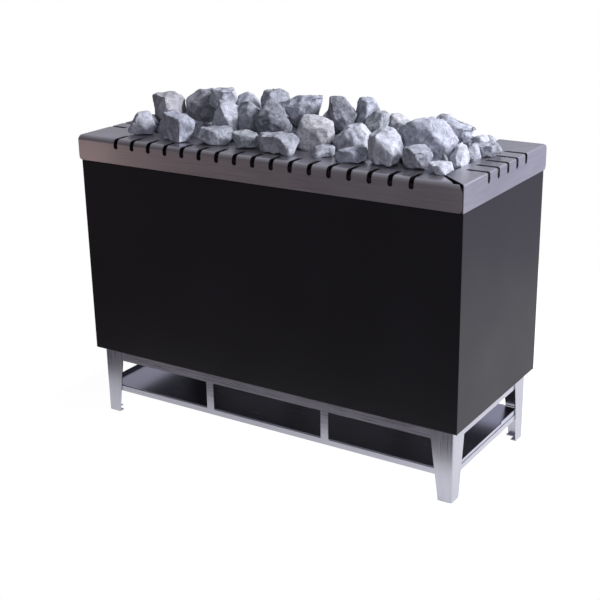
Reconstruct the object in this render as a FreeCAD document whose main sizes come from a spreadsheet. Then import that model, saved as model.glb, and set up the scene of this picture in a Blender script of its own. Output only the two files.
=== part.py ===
import FreeCAD, Part
import math
import os
import random
import Sketcher

# A floor-standing electric sauna heater with its load of stones.
# Frame: millimetres, origin on the floor under the middle, +X to the right, -Y to the front, +Z up.

os.makedirs("parts", exist_ok=True)
Vector = FreeCAD.Vector
Rotation = FreeCAD.Rotation
Placement = FreeCAD.Placement
doc = FreeCAD.newDocument("StoneHeater")

# ---------------------------------------------------------------------------------------------
# Driving dimensions
# ---------------------------------------------------------------------------------------------
SIZES = {
    "rim_width": (1040, "overall width, across the rim"),
    "rim_depth": (445, "overall depth, across the rim"),
    "rim_top": (742, "height of the rim's top face"),
    "rim_flange": (61, "height of the rim's outer flange"),
    "rim_gauge": (2, "sheet thickness of the rim"),
    "band_long": (110, "width of the front and back bands of the rim"),
    "band_short": (70, "width of the side bands of the rim"),
    "bend_long": (12, "outside bend radius of the front and back bands"),
    "bend_short": (5, "outside bend radius of the side bands"),
    "open_corner": (22, "rounding of the flange at the open corner joint"),
    "open_run": (58, "how far back the open joint runs over the side band"),
    "tip_corner": (8, "rounding of a flange's lower tip"),
    "slot_pitch": (50, "spacing of the air slots"),
    "slot_width": (12, "width of an air slot"),
    "slots_long": (17, "number of air slots in the front or back strip"),
    "slots_short": (5, "number of air slots in a side strip"),
    "slot_drop": (24, "how far a slot runs down the flange"),
    "slot_reach_long": (48, "how far a slot runs in over a long band"),
    "slot_reach_short": (53, "how far a slot runs in over a side band"),
    "slot_round": (5.5, "rounding of a slot's end"),
    "casing_width": (1034, "width over the outer casing"),
    "casing_depth": (432, "depth over the outer casing"),
    "casing_bottom": (179, "height of the casing's lower edge"),
    "casing_top": (728, "height of the casing's upper edge, inside the rim"),
    "casing_gauge": (2, "sheet thickness of the casing"),
    "casing_fold": (14, "width of the fold along the casing's lower edge"),
    "casing_bend": (3, "outside bend radius of the casing"),
    "liner_x": (498, "half distance between the stone chamber's end walls"),
    "liner_y": (140, "half distance between the stone chamber's long walls"),
    "liner_gauge": (2, "sheet thickness of the stone chamber"),
    "liner_bottom": (236, "height of the stone chamber's lower edge"),
    "shield_y": (186, "half distance between the heat shields"),
    "grate_top": (250, "top of the stone grate"),
    "carrier_top": (235, "top of the element carrier plate"),
    "carrier_gauge": (3, "thickness of the element carrier plate"),
    "stand_width": (1004, "width over the legs"),
    "stand_depth": (400, "depth over the legs"),
    "stand_gauge": (2.5, "sheet thickness of the stand"),
    "stand_top": (181, "top of the stand, under the base pan"),
    "leg_wide": (60, "width of a leg's flange at its top"),
    "leg_narrow": (35, "width of a leg's flange at the floor"),
    "sole_depth": (15, "depth of the tabs that make the sole of a leg"),
    "leg_bend": (4, "outside bend radius of a leg"),
    "rail_upper": (148, "lower edge of the upper rails"),
    "rail_lower_top": (76, "upper edge of the lower rails"),
    "rail_lower": (62, "lower edge of the lower rails"),
    "strut_x": (167, "distance of each strut from the middle"),
    "strut_width": (21, "width of a strut"),
    "shelf_gauge": (2, "thickness of the heat shield shelf"),
    "shelf_lip": (8, "height of the front shelf's end lips"),
    "shelf_split": (72, "depth at which the front and rear shelves meet"),
    "element_pitch": (100, "spacing of the heating elements"),
    "element_count": (9, "number of heating elements"),
    "element_tube": (8, "diameter of a heating element's tube"),
    "element_step": (70, "distance between the legs of an element"),
    "element_top": (570, "height of the centre of an element's upper bends"),
    "element_dip": (300, "height of the centre of an element's lower bend"),
    "screw_pitch": (180, "spacing of the screws under the casing"),
    "screw_hole": (2.2, "radius of a screw hole"),
}

sheet = doc.addObject("Spreadsheet::Sheet", "Sizes")
for line, (alias, (value, note)) in enumerate(SIZES.items(), start=1):
    sheet.set(f"A{line}", note)
    sheet.set(f"B{line}", str(value))
    sheet.setAlias(f"B{line}", alias)
doc.recompute()


class Length:
    """A number of millimetres together with the spreadsheet expression that gives it."""

    def __init__(self, value, text):
        self.value = value
        self.text = text

    def __add__(self, other):
        other = as_length(other)
        return Length(self.value + other.value, f"({self.text} + {other.text})")

    def __sub__(self, other):
        other = as_length(other)
        return Length(self.value - other.value, f"({self.text} - {other.text})")

    def __mul__(self, factor):
        return Length(self.value * factor, f"({self.text} * {factor})")

    def __truediv__(self, divisor):
        return Length(self.value / divisor, f"({self.text} / {divisor})")

    def __neg__(self):
        return Length(-self.value, f"(0 - {self.text})")


def as_length(thing):
    if isinstance(thing, Length):
        return thing
    return Length(float(thing), str(thing))


def size(alias):
    return Length(float(SIZES[alias][0]), f"Sizes.{alias}")


def millimetres(alias):
    return float(SIZES[alias][0])


def bind(thing, prop, length):
    thing.setExpression(prop, as_length(length).text)


# ---------------------------------------------------------------------------------------------
# Ways of making a piece
# ---------------------------------------------------------------------------------------------
nodes = []


def node(thing, label):
    """Registers a finished sub-part under the name that its file gets."""
    thing.Label = label
    nodes.append(thing)
    return thing


def block(name, low, high):
    box = doc.addObject("Part::Box", name)
    for prop, a, b in zip(("Length", "Width", "Height"), low, high):
        bind(box, prop, as_length(b) - a)
    for prop, a in zip("xyz", low):
        bind(box, f"Placement.Base.{prop}", a)
    return box


def rod(name, foot, radius, height):
    cylinder = doc.addObject("Part::Cylinder", name)
    bind(cylinder, "Radius", radius)
    bind(cylinder, "Height", height)
    for prop, a in zip("xyz", foot):
        bind(cylinder, f"Placement.Base.{prop}", a)
    return cylinder


def hexagon(name, foot, radius, height):
    prism = doc.addObject("Part::Prism", name)
    prism.Polygon = 6
    bind(prism, "Circumradius", radius)
    bind(prism, "Height", height)
    for prop, a in zip("xyz", foot):
        bind(prism, f"Placement.Base.{prop}", a)
    return prism


def cut(name, base, tool):
    result = doc.addObject("Part::Cut", name)
    result.Base = base
    result.Tool = tool
    return result


def fuse(name, shapes):
    result = doc.addObject("Part::MultiFuse", name)
    result.Shapes = shapes
    return result


def group(name, shapes):
    """Several separate solids kept as one sub-part."""
    result = doc.addObject("Part::Compound", name)
    result.Links = shapes
    return result


def new_body(name):
    return doc.addObject("PartDesign::Body", name)


def origin_feature(body, role):
    return next(f for f in body.Origin.OriginFeatures if f.Role == role)


def new_sketch(body, name, role, offset=0):
    """A sketch on one of the body's own planes, moved by offset along +X, +Y or +Z."""
    sketch = body.newObject("Sketcher::SketchObject", name)
    sketch.AttachmentSupport = [(origin_feature(body, role), "")]
    sketch.MapMode = "FlatFace"
    along = -as_length(offset) if role == "XZ_Plane" else as_length(offset)
    bind(sketch, "AttachmentOffset.Base.z", along)
    return sketch


def dimension(sketch, geometry, end, point):
    """Fixes one point of a sketch's geometry at (u, v) from the sketch's origin."""
    for kind, length in zip(("DistanceX", "DistanceY"), point):
        index = sketch.addConstraint(
            Sketcher.Constraint(kind, -1, 1, geometry, end, length.value)
        )
        bind(sketch, f"Constraints[{index}]", length)


def step_towards(corner, other, radius):
    """The point a radius away from a corner, along the level or upright line to another one."""
    moved = []
    for here, there in zip(corner, other):
        gap = there.value - here.value
        if abs(gap) < 1e-6:
            moved.append(here)
        else:
            moved.append(here + radius if gap > 0 else here - radius)
    return moved


def circle(sketch, centre, radius):
    """A circle held by its centre and its radius."""
    u, v = [as_length(value) for value in centre]
    ring = sketch.addGeometry(
        Part.Circle(Vector(u.value, v.value, 0), Vector(0, 0, 1), radius.value), False)
    dimension(sketch, ring, 3, (u, v))
    index = sketch.addConstraint(Sketcher.Constraint("Radius", ring, radius.value))
    bind(sketch, f"Constraints[{index}]", radius)


def outline(sketch, corners):
    """A closed wire through (u, v) corners; a third value rounds that corner with an arc."""
    count = len(corners)
    points = [[as_length(u), as_length(v)] for u, v, *_ in corners]
    radii = [as_length(rest[0]) if rest else None for _, _, *rest in corners]
    enter, leave, centre = [], [], []
    for i, (point, radius) in enumerate(zip(points, radii)):
        if radius is None:
            enter.append(point)
            leave.append(point)
            centre.append(None)
            continue
        before = step_towards(point, points[i - 1], radius)
        after = step_towards(point, points[(i + 1) % count], radius)
        enter.append(before)
        leave.append(after)
        centre.append([b + a - p for b, a, p in zip(before, after, point)])

    def flat(point):
        return Vector(point[0].value, point[1].value, 0)

    sides = []
    for i in range(count):
        line = Part.LineSegment(flat(leave[i]), flat(enter[(i + 1) % count]))
        sides.append(sketch.addGeometry(line, False))
    for i in range(count):
        if radii[i] is None:
            sketch.addConstraint(Sketcher.Constraint("Coincident", sides[i - 1], 2, sides[i], 1))
            dimension(sketch, sides[i], 1, leave[i])
            continue
        middle = flat(centre[i])
        start, end = flat(enter[i]), flat(leave[i])
        outward = flat(points[i]) - middle
        bulge = middle + outward * (radii[i].value / outward.Length)
        arc = sketch.addGeometry(Part.Arc(start, bulge, end), False)
        turns_left = (start - middle).cross(end - middle).z > 0
        first, last = (1, 2) if turns_left else (2, 1)
        sketch.addConstraint(Sketcher.Constraint("Coincident", sides[i - 1], 2, arc, first))
        sketch.addConstraint(Sketcher.Constraint("Coincident", sides[i], 1, arc, last))
        dimension(sketch, sides[i - 1], 2, enter[i])
        dimension(sketch, sides[i], 1, leave[i])
        index = sketch.addConstraint(
            Sketcher.Constraint("DistanceX", -1, 1, arc, 3, centre[i][0].value)
        )
        bind(sketch, f"Constraints[{index}]", centre[i][0])
    return sketch


def pad(body, name, role, corners, thickness, offset=0, both_ways=False, holes=()):
    """Adds a plate: its outline on a plane, thickened along the plane's own axis."""
    sketch = new_sketch(body, f"{name}_outline", role, offset)
    for wire in (corners, *holes):
        outline(sketch, wire)
    feature = body.newObject("PartDesign::Pad", name)
    feature.Profile = sketch
    bind(feature, "Length", thickness)
    feature.Midplane = both_ways
    feature.Reversed = role == "XZ_Plane" and not both_ways
    body.Tip = feature
    return feature


def cut_through(body, name, sketch, depth):
    """Cuts a sketch out of the body, as deep to one side of its plane as to the other."""
    feature = body.newObject("PartDesign::Pocket", name)
    feature.Profile = sketch
    feature.Midplane = True
    bind(feature, "Length", depth)
    body.Tip = feature
    return feature


def pocket(body, name, role, corners, depth, offset=0):
    sketch = new_sketch(body, f"{name}_outline", role, offset)
    outline(sketch, corners)
    return cut_through(body, name, sketch, depth)


def drill(body, name, centre, radius, depth, offset):
    """An upright round hole through a level plate."""
    sketch = new_sketch(body, f"{name}_outline", "XY_Plane", offset)
    circle(sketch, centre, radius)
    return cut_through(body, name, sketch, depth)


def repeat(body, name, features, role, step, count):
    """Repeats cuts in a straight row along one of the body's own axes."""
    pattern = body.newObject("PartDesign::LinearPattern", name)
    pattern.Originals = features
    pattern.Direction = (origin_feature(body, role), [""])
    bind(pattern, "Length", step * (count - 1))
    pattern.Occurrences = count
    body.Tip = pattern
    return pattern


def rectangle(low, high, radius=None):
    """The corners of an upright rectangle, all rounded alike where a radius is given."""
    rest = () if radius is None else (radius,)
    (left, bottom), (right, top) = low, high
    return [(u, v, *rest) for u, v in
            ((left, bottom), (right, bottom), (right, top), (left, top))]


def on_side(inner, outer, side):
    """A span between two distances from the middle, lower end first, on the side +1 or -1."""
    return (-outer, -inner) if side < 0 else (inner, outer)


def turn_round(body, degrees):
    body.Placement = Placement(Vector(0, 0, 0), Rotation(Vector(0, 0, 1), degrees))


# ---------------------------------------------------------------------------------------------
# Rim: four folded strips around the opening that the stones fill
# ---------------------------------------------------------------------------------------------
RIM_X = size("rim_width") / 2
RIM_Y = size("rim_depth") / 2
RIM_TOP = size("rim_top")
RIM_LOW = RIM_TOP - size("rim_flange")
RIM_GAUGE = size("rim_gauge")
OPENING_X = RIM_X - size("band_short")
OPENING_Y = RIM_Y - size("band_long")
JOINT_GAP = as_length(0.6)
PAST = as_length(5)
SLOTS_LONG = SIZES["slots_long"][0]
SLOTS_SHORT = SIZES["slots_short"][0]


def fold_profile(outer, inner, side, radius):
    """Cross-section of a top band and its outer flange, on the side given by +1 or -1."""
    return [
        (inner * side, RIM_TOP),
        (outer * side, RIM_TOP, radius),
        (outer * side, RIM_LOW),
        ((outer - RIM_GAUGE) * side, RIM_LOW),
        ((outer - RIM_GAUGE) * side, RIM_TOP - RIM_GAUGE, radius - RIM_GAUGE),
        (inner * side, RIM_TOP - RIM_GAUGE),
    ]


def slot_row(body, plane, along, face, side, reach, count):
    """Air slots that run over the fold: across the band, then down the flange."""
    half = size("slot_width") / 2
    first = -(size("slot_pitch") * ((count - 1) / 2))
    left, right = first - half, first + half
    rounding = size("slot_round")
    inner_end = (face - reach) * side
    outer_end = (face + PAST) * side
    cuts_across = [(left, outer_end), (right, outer_end),
                   (right, inner_end, rounding), (left, inner_end, rounding)]
    if along == "Y_Axis":
        cuts_across = [(v, u, *rest) for u, v, *rest in cuts_across]
    cuts_down = [(left, RIM_TOP - size("slot_drop"), rounding),
                 (right, RIM_TOP - size("slot_drop"), rounding),
                 (right, RIM_TOP + PAST), (left, RIM_TOP + PAST)]
    depth = size("bend_long") * 2
    across = pocket(body, "SlotAcross", "XY_Plane", cuts_across, depth, offset=RIM_TOP)
    down = pocket(body, "SlotDown", plane, cuts_down, depth, offset=face * side)
    repeat(body, "Slots", [across, down], along, size("slot_pitch"), count)


def trim_end(body, name, plane, face, edge, side, top_round=None):
    """Trims a flange at its end line, with its lower tip rounded and its upper one if asked."""
    tip = size("tip_corner")
    past = edge + PAST * side * 2
    if top_round is None:
        upper = [(past, RIM_LOW + tip * 3), (edge, RIM_LOW + tip * 3)]
    else:
        back = edge - top_round * 2 * side
        upper = [(past, RIM_TOP + PAST), (back, RIM_TOP + PAST), (back, RIM_TOP),
                 (edge, RIM_TOP, top_round)]
    tail = edge - tip * 2 * side
    corners = [(tail, RIM_LOW), (tail, RIM_LOW - PAST), (past, RIM_LOW - PAST), *upper,
               (edge, RIM_LOW, tip)]
    pocket(body, name, plane, corners, size("bend_long") * 2, offset=face)


def mitre(body, name, line, side, depth, swap=False):
    """Cuts a band's end along the line from its outer corner to its inner corner."""
    outer_along, outer_across = line[0]
    inner_along, inner_across = line[-1]
    past = outer_along + PAST * side * 5
    beyond = inner_across + PAST
    corners = [(outer_along, outer_across - PAST), (past, outer_across - PAST),
               (past, beyond), (inner_along, beyond), *reversed(line)]
    if swap:
        corners = [(-v, u) for u, v in corners]
    pocket(body, name, "XY_Plane", corners, depth, offset=RIM_TOP)


def rim_long(label, degrees):
    """A front or back strip: its left end is mitred tight, its right corner is left open."""
    body = new_body(label)
    profile = fold_profile(RIM_Y, OPENING_Y, -1, size("bend_long"))
    pad(body, "Fold", "YZ_Plane", profile, RIM_X * 2, both_ways=True)
    slot_row(body, "XZ_Plane", "X_Axis", RIM_Y, -1, size("slot_reach_long"), SLOTS_LONG)
    left_line = ((-RIM_X + JOINT_GAP, -RIM_Y), (-OPENING_X + JOINT_GAP, -OPENING_Y))
    mitre(body, "TightMitre", left_line, -1, size("rim_flange") * 3)
    open_from = RIM_X - size("open_corner")
    butt = OPENING_X - JOINT_GAP
    knee = (butt, -RIM_Y + open_from - butt)
    right_line = ((open_from, -RIM_Y), knee, (butt, -OPENING_Y))
    mitre(body, "OpenMitre", right_line, 1, RIM_GAUGE * 3)
    flange_end = RIM_X - RIM_GAUGE - JOINT_GAP
    trim_end(body, "RightEnd", "XZ_Plane", -RIM_Y, flange_end, 1, size("open_corner"))
    trim_end(body, "LeftEnd", "XZ_Plane", -RIM_Y, -RIM_X + JOINT_GAP, -1)
    turn_round(body, degrees)
    return node(body, label)


def rim_short(label, degrees):
    """A side strip, made as the right one: its front end is square, its rear end rounded."""
    body = new_body(label)
    profile = fold_profile(RIM_X, OPENING_X, 1, size("bend_short"))
    pad(body, "Fold", "XZ_Plane", profile, RIM_Y * 2, both_ways=True)
    slot_row(body, "YZ_Plane", "Y_Axis", RIM_X, 1, size("slot_reach_short"), SLOTS_SHORT)
    front_line = ((-RIM_Y, -RIM_X), (-RIM_Y + size("open_run"), -OPENING_X))
    rear_line = ((RIM_Y - JOINT_GAP, -RIM_X), (OPENING_Y - JOINT_GAP, -OPENING_X))
    mitre(body, "FrontMitre", front_line, -1, RIM_GAUGE * 3, swap=True)
    mitre(body, "RearMitre", rear_line, 1, size("rim_flange") * 3, swap=True)
    trim_end(body, "RearEnd", "YZ_Plane", RIM_X, RIM_Y - RIM_GAUGE - JOINT_GAP, 1,
             size("bend_long"))
    turn_round(body, degrees)
    return node(body, label)


rim_long("rim_front", 0)
rim_long("rim_back", 180)
rim_short("rim_right", 0)
rim_short("rim_left", 180)

# ---------------------------------------------------------------------------------------------
# Casing: four painted panels hung inside the rim, and the pan that closes them below
# ---------------------------------------------------------------------------------------------
CASING_X = size("casing_width") / 2
CASING_Y = size("casing_depth") / 2
CASING_LOW = size("casing_bottom")
CASING_TOP = size("casing_top")
CASING_GAUGE = size("casing_gauge")
SCREW_COUNT = 5
PAN_GAUGE = 2


def panel_profile(face, side):
    """Cross-section of a panel with the fold along its lower edge."""
    fold = (face - size("casing_fold")) * side
    bend = size("casing_bend")
    return [
        (face * side, CASING_TOP),
        (face * side, CASING_LOW, bend),
        (fold, CASING_LOW),
        (fold, CASING_LOW + CASING_GAUGE),
        ((face - CASING_GAUGE) * side, CASING_LOW + CASING_GAUGE, bend - CASING_GAUGE),
        ((face - CASING_GAUGE) * side, CASING_TOP),
    ]


def screw_holes(body, depth, plane_height, sides):
    """Rows of screw holes along the fold of a long panel, or in the pan above the folds."""
    first = -(size("screw_pitch") * ((SCREW_COUNT - 1) / 2))
    across = CASING_Y - size("casing_fold") * 0.6
    singles = []
    for side in sides:
        name = "FrontHole" if side < 0 else "RearHole"
        centre = (first, across * side)
        singles.append(drill(body, name, centre, size("screw_hole"), depth, plane_height))
    repeat(body, "ScrewHoles", singles, "X_Axis", size("screw_pitch"), SCREW_COUNT)


def casing_long(label, degrees):
    body = new_body(label)
    pad(body, "Panel", "YZ_Plane", panel_profile(CASING_Y, -1), CASING_X * 2, both_ways=True)
    for name, side in (("LeftRelief", -1), ("RightRelief", 1)):
        inner_edge = (CASING_X - CASING_GAUGE - JOINT_GAP) * side
        relief = rectangle((inner_edge, -(CASING_Y - CASING_GAUGE)),
                           ((CASING_X + PAST) * side, -(CASING_Y - size("casing_fold") - PAST)))
        pocket(body, name, "XY_Plane", relief, CASING_GAUGE * 6, offset=CASING_LOW)
    screw_holes(body, CASING_GAUGE * 3, CASING_LOW, (-1,))
    turn_round(body, degrees)
    return node(body, label)


def casing_short(label, degrees):
    body = new_body(label)
    between = CASING_Y - size("casing_fold") - JOINT_GAP
    upright = (CASING_Y - CASING_GAUGE - 0.2) * 2
    pad(body, "Panel", "XZ_Plane", panel_profile(CASING_X, 1), upright, both_ways=True)
    for name, side in (("FrontRelief", -1), ("RearRelief", 1)):
        inner_edge = between * side
        relief = rectangle(
            (CASING_X - size("casing_fold") - PAST, inner_edge),
            (CASING_X - CASING_GAUGE, inner_edge + size("casing_fold") * side * 1.5))
        pocket(body, name, "XY_Plane", relief, CASING_GAUGE * 6, offset=CASING_LOW)
    turn_round(body, degrees)
    return node(body, label)


casing_long("casing_front", 0)
casing_long("casing_back", 180)
casing_short("casing_right", 0)
casing_short("casing_left", 180)


def base_pan():
    body = new_body("base_pan")
    low = CASING_LOW + CASING_GAUGE
    edge_x, edge_y = CASING_X - CASING_GAUGE - 1, CASING_Y - CASING_GAUGE - 1
    pad(body, "Plate", "XY_Plane", rectangle((-edge_x, -edge_y), (edge_x, edge_y)),
        PAN_GAUGE, offset=low)
    screw_holes(body, as_length(PAN_GAUGE * 4), low, (-1, 1))
    vent_pitch, vent_count = as_length(40), 23
    half_width, half_depth, rounding = 10, 14, as_length(6)
    first = -(vent_pitch * ((vent_count - 1) / 2))
    vents = []
    for name, side in (("FrontVent", -1), ("RearVent", 1)):
        middle = (size("liner_y") + size("shield_y")) * (side / 2)
        vent = rectangle((first - half_width, middle - half_depth),
                         (first + half_width, middle + half_depth), rounding)
        vents.append(pocket(body, name, "XY_Plane", vent, PAN_GAUGE * 4, offset=low))
    repeat(body, "Vents", vents, "X_Axis", vent_pitch, vent_count)
    return node(body, "base_pan")


def casing_screws():
    """Pan-head screws up through the casing's folds into the base pan."""
    head_radius, head_height, shank_radius, shank_height = 3.8, 2.4, 2, 9
    screws = []
    for row, side in (("Front", -1), ("Rear", 1)):
        for i in range(SCREW_COUNT):
            x = size("screw_pitch") * (i - (SCREW_COUNT - 1) / 2)
            y = (CASING_Y - size("casing_fold") * 0.6) * side
            name = f"CasingScrew{row}{i}"
            foot = (x, y, CASING_LOW - head_height)
            head = rod(f"{name}Head", foot, head_radius, head_height)
            shank = rod(f"{name}Shank", (x, y, CASING_LOW), shank_radius, shank_height)
            screws.append(fuse(name, [head, shank]))
    return node(group("casing_screws", screws), "casing_screws")


base_pan()
casing_screws()

# ---------------------------------------------------------------------------------------------
# Stone chamber: liner walls, heat shields and the grate under the stones
# ---------------------------------------------------------------------------------------------
LINER_X = size("liner_x")
LINER_Y = size("liner_y")
LINER_GAUGE = size("liner_gauge")
LINER_LOW = size("liner_bottom")
LINER_TOP = RIM_TOP - RIM_GAUGE - 2
PAN_TOP = CASING_LOW + CASING_GAUGE + PAN_GAUGE
SHIELD_GAUGE = 1
SHIELD_DROP = 20


def wall(label, low, high):
    return node(block(label, low, high), label)


for side, label in ((-1, "liner_front"), (1, "liner_back")):
    near, far = on_side(LINER_Y, LINER_Y + LINER_GAUGE, side)
    wall(label, (-LINER_X, near, LINER_LOW), (LINER_X, far, LINER_TOP))
for side, label in ((-1, "liner_left"), (1, "liner_right")):
    near, far = on_side(LINER_X, LINER_X + LINER_GAUGE, side)
    reach = LINER_Y + LINER_GAUGE
    wall(label, (near, -reach, PAN_TOP), (far, reach, LINER_TOP))
for side, label in ((-1, "heat_shield_front"), (1, "heat_shield_back")):
    near, far = on_side(size("shield_y"), size("shield_y") + SHIELD_GAUGE, side)
    wall(label, (-LINER_X, near, PAN_TOP), (LINER_X, far, CASING_TOP - SHIELD_DROP))


def stone_grate():
    """A slotted plate that carries the stones and lets the air and the elements through."""
    body = new_body("stone_grate")
    gauge = as_length(4)
    low = size("grate_top") - gauge
    edge_x, edge_y = LINER_X - 1, LINER_Y - 1
    pad(body, "Plate", "XY_Plane", rectangle((-edge_x, -edge_y), (edge_x, edge_y)),
        gauge, offset=low)
    pitch, count = as_length(25), 37
    half_width, half_length, rounding = 7, 38, as_length(5)
    first = -(pitch * ((count - 1) / 2))
    cuts = []
    for name, middle in (("FrontGap", -87.5), ("MiddleGap", 0), ("RearGap", 87.5)):
        gap = rectangle((first - half_width, as_length(middle - half_length)),
                        (first + half_width, as_length(middle + half_length)), rounding)
        cuts.append(pocket(body, name, "XY_Plane", gap, gauge * 3, offset=low))
    repeat(body, "Gaps", cuts, "X_Axis", pitch, count)
    return node(body, "stone_grate")


stone_grate()

# ---------------------------------------------------------------------------------------------
# Heating: carrier, tubular elements, nuts, terminals, earth stud and cable gland
# ---------------------------------------------------------------------------------------------
TUBE = size("element_tube") / 2
STEP = size("element_step")
CARRIER_TOP = size("carrier_top")
CARRIER_LOW = CARRIER_TOP - size("carrier_gauge")
ELEMENTS = SIZES["element_count"][0]
ELEMENT_ENDS = (-1.5, 1.5)
CARRIER_X = as_length(460)
CARRIER_Y = STEP * 1.5 + 15
ELEMENT_LOW = PAN_TOP + 20
TROUGH_GAUGE = as_length(1.5)
TROUGH_FLOOR = PAN_TOP + TROUGH_GAUGE
TERMINAL_X = CARRIER_X - 30


def element_x(index):
    return size("element_pitch") * (index - (ELEMENTS - 1) / 2)


def wiring_channel():
    """Folded trough under the carrier plate, for the wiring."""
    body = new_body("wiring_channel")
    inside = CARRIER_Y - TROUGH_GAUGE
    profile = [
        (-CARRIER_Y, CARRIER_LOW), (-CARRIER_Y, PAN_TOP), (CARRIER_Y, PAN_TOP),
        (CARRIER_Y, CARRIER_LOW), (inside, CARRIER_LOW), (inside, TROUGH_FLOOR),
        (-inside, TROUGH_FLOOR), (-inside, CARRIER_LOW),
    ]
    pad(body, "Trough", "YZ_Plane", profile, CARRIER_X * 2, both_ways=True)
    return node(body, "wiring_channel")


def element_carrier():
    body = new_body("element_carrier")
    pad(body, "Plate", "XY_Plane",
        rectangle((-CARRIER_X, -CARRIER_Y), (CARRIER_X, CARRIER_Y)),
        size("carrier_gauge"), offset=CARRIER_LOW)
    holes = []
    hole = TUBE + 0.4
    for name, place in zip(("FrontHole", "RearHole"), ELEMENT_ENDS):
        centre = (element_x(0), STEP * place)
        holes.append(drill(body, name, centre, hole, size("carrier_gauge") * 3, CARRIER_LOW))
    repeat(body, "Holes", holes, "X_Axis", size("element_pitch"), ELEMENTS)
    return node(body, "element_carrier")


def heating_element(index):
    """A tube bent into two tall hairpins, with both ends down through the carrier."""
    label = f"heating_element_{index + 1}"
    body = new_body(label)
    x = element_x(index)
    radius = STEP / 2
    path = new_sketch(body, "Route", "YZ_Plane", x)
    top, dip = size("element_top"), size("element_dip")
    columns = [STEP * place for place in (-1.5, -0.5, 0.5, 1.5)]

    def point(y, z):
        return Vector(y.value, z.value, 0)

    def straight(y, low, high, upwards):
        ends = (low, high) if upwards else (high, low)
        line = path.addGeometry(Part.LineSegment(point(y, ends[0]), point(y, ends[1])), False)
        dimension(path, line, 1, (y, ends[0]))
        dimension(path, line, 2, (y, ends[1]))
        return line

    def bend(left, z, over, before, after):
        right = left + STEP
        crown = z + radius if over else z - radius
        arc = path.addGeometry(
            Part.Arc(point(left, z), point(left + radius, crown), point(right, z)), False)
        first, last = (2, 1) if over else (1, 2)
        path.addConstraint(Sketcher.Constraint("Coincident", before, 2, arc, first))
        path.addConstraint(Sketcher.Constraint("Coincident", after, 1, arc, last))
        place = path.addConstraint(Sketcher.Constraint("DistanceY", -1, 1, arc, 3, z.value))
        bind(path, f"Constraints[{place}]", z)

    legs = [
        straight(columns[0], ELEMENT_LOW, top, True),
        straight(columns[1], dip, top, False),
        straight(columns[2], dip, top, True),
        straight(columns[3], ELEMENT_LOW, top, False),
    ]
    bend(columns[0], top, True, legs[0], legs[1])
    bend(columns[1], dip, False, legs[1], legs[2])
    bend(columns[2], top, True, legs[2], legs[3])
    section = new_sketch(body, "Section", "XY_Plane", ELEMENT_LOW)
    circle(section, (x, columns[0]), TUBE)
    doc.recompute()
    sweep = body.newObject("PartDesign::AdditivePipe", "Tube")
    sweep.Profile = section
    sweep.Spine = (path, [f"Edge{i + 1}" for i in range(len(path.Shape.Edges))])
    body.Tip = sweep
    return node(body, label)


def element_nuts():
    """One hexagon nut on each element end, under the carrier."""
    nut_radius, nut_height = 9, 6
    nuts = []
    for index in range(ELEMENTS):
        for name, place in zip(("Front", "Rear"), ELEMENT_ENDS):
            foot = (element_x(index), STEP * place, CARRIER_LOW - nut_height)
            body = hexagon(f"Nut{index}{name}", foot, nut_radius, nut_height)
            bore = rod(f"NutBore{index}{name}", foot, TUBE + 0.2, nut_height)
            nuts.append(cut(f"HexNut{index}{name}", body, bore))
    return node(group("element_nuts", nuts), "element_nuts")


def terminal_block():
    """A five-pole block in the trough, with a screw well over each pole."""
    half_length, half_width, height, poles, pole_pitch = 45, 15, 22, 5, 18
    base_low = (TERMINAL_X - half_width, as_length(-half_length), TROUGH_FLOOR)
    base_high = (TERMINAL_X + half_width, as_length(half_length), TROUGH_FLOOR + height)
    base = block("BlockBase", base_low, base_high)
    wells, screws = [], []
    for i in range(poles):
        foot = (TERMINAL_X, as_length(pole_pitch * (i - (poles - 1) / 2)), TROUGH_FLOOR + 12)
        wells.append(rod(f"Well{i}", foot, 4, height))
        screws.append(rod(f"PoleScrew{i}", foot, 3, 4))
    body = cut("BlockCut", base, fuse("Wells", wells))
    node(body, "terminal_block")
    node(group("terminal_screws", screws), "terminal_screws")


def earth_stud():
    foot = (TERMINAL_X, as_length(75), TROUGH_FLOOR)
    head = hexagon("EarthNut", foot, 7, 5)
    shank = rod("EarthShank", (foot[0], foot[1], foot[2] + 5), 3, 10)
    return node(fuse("earth_stud", [head, shank]), "earth_stud")


def cable_gland():
    """Gland under the rear right of the base pan, closed because the cable is left out."""
    x, y = TERMINAL_X, LINER_Y + 25
    top = CASING_LOW + CASING_GAUGE
    flange = hexagon("GlandHex", (x, y, top - 6), 16, 6)
    barrel = rod("GlandBarrel", (x, y, top - 22), 11, 16)
    dome = rod("GlandCap", (x, y, top - 28), 9, 6)
    return node(fuse("cable_gland", [flange, barrel, dome]), "cable_gland")


wiring_channel()
element_carrier()
for element in range(ELEMENTS):
    heating_element(element)
element_nuts()
terminal_block()
earth_stud()
cable_gland()

# ---------------------------------------------------------------------------------------------
# Stand: tapered angle legs, cut-out front and back sheets, side rails and the shelf
# ---------------------------------------------------------------------------------------------
STAND_X = size("stand_width") / 2
STAND_Y = size("stand_depth") / 2
STAND_GAUGE = size("stand_gauge")
STAND_TOP = size("stand_top")
LEG_WIDE = size("leg_wide")
LEG_NARROW = size("leg_narrow")
LAP = 12


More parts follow.
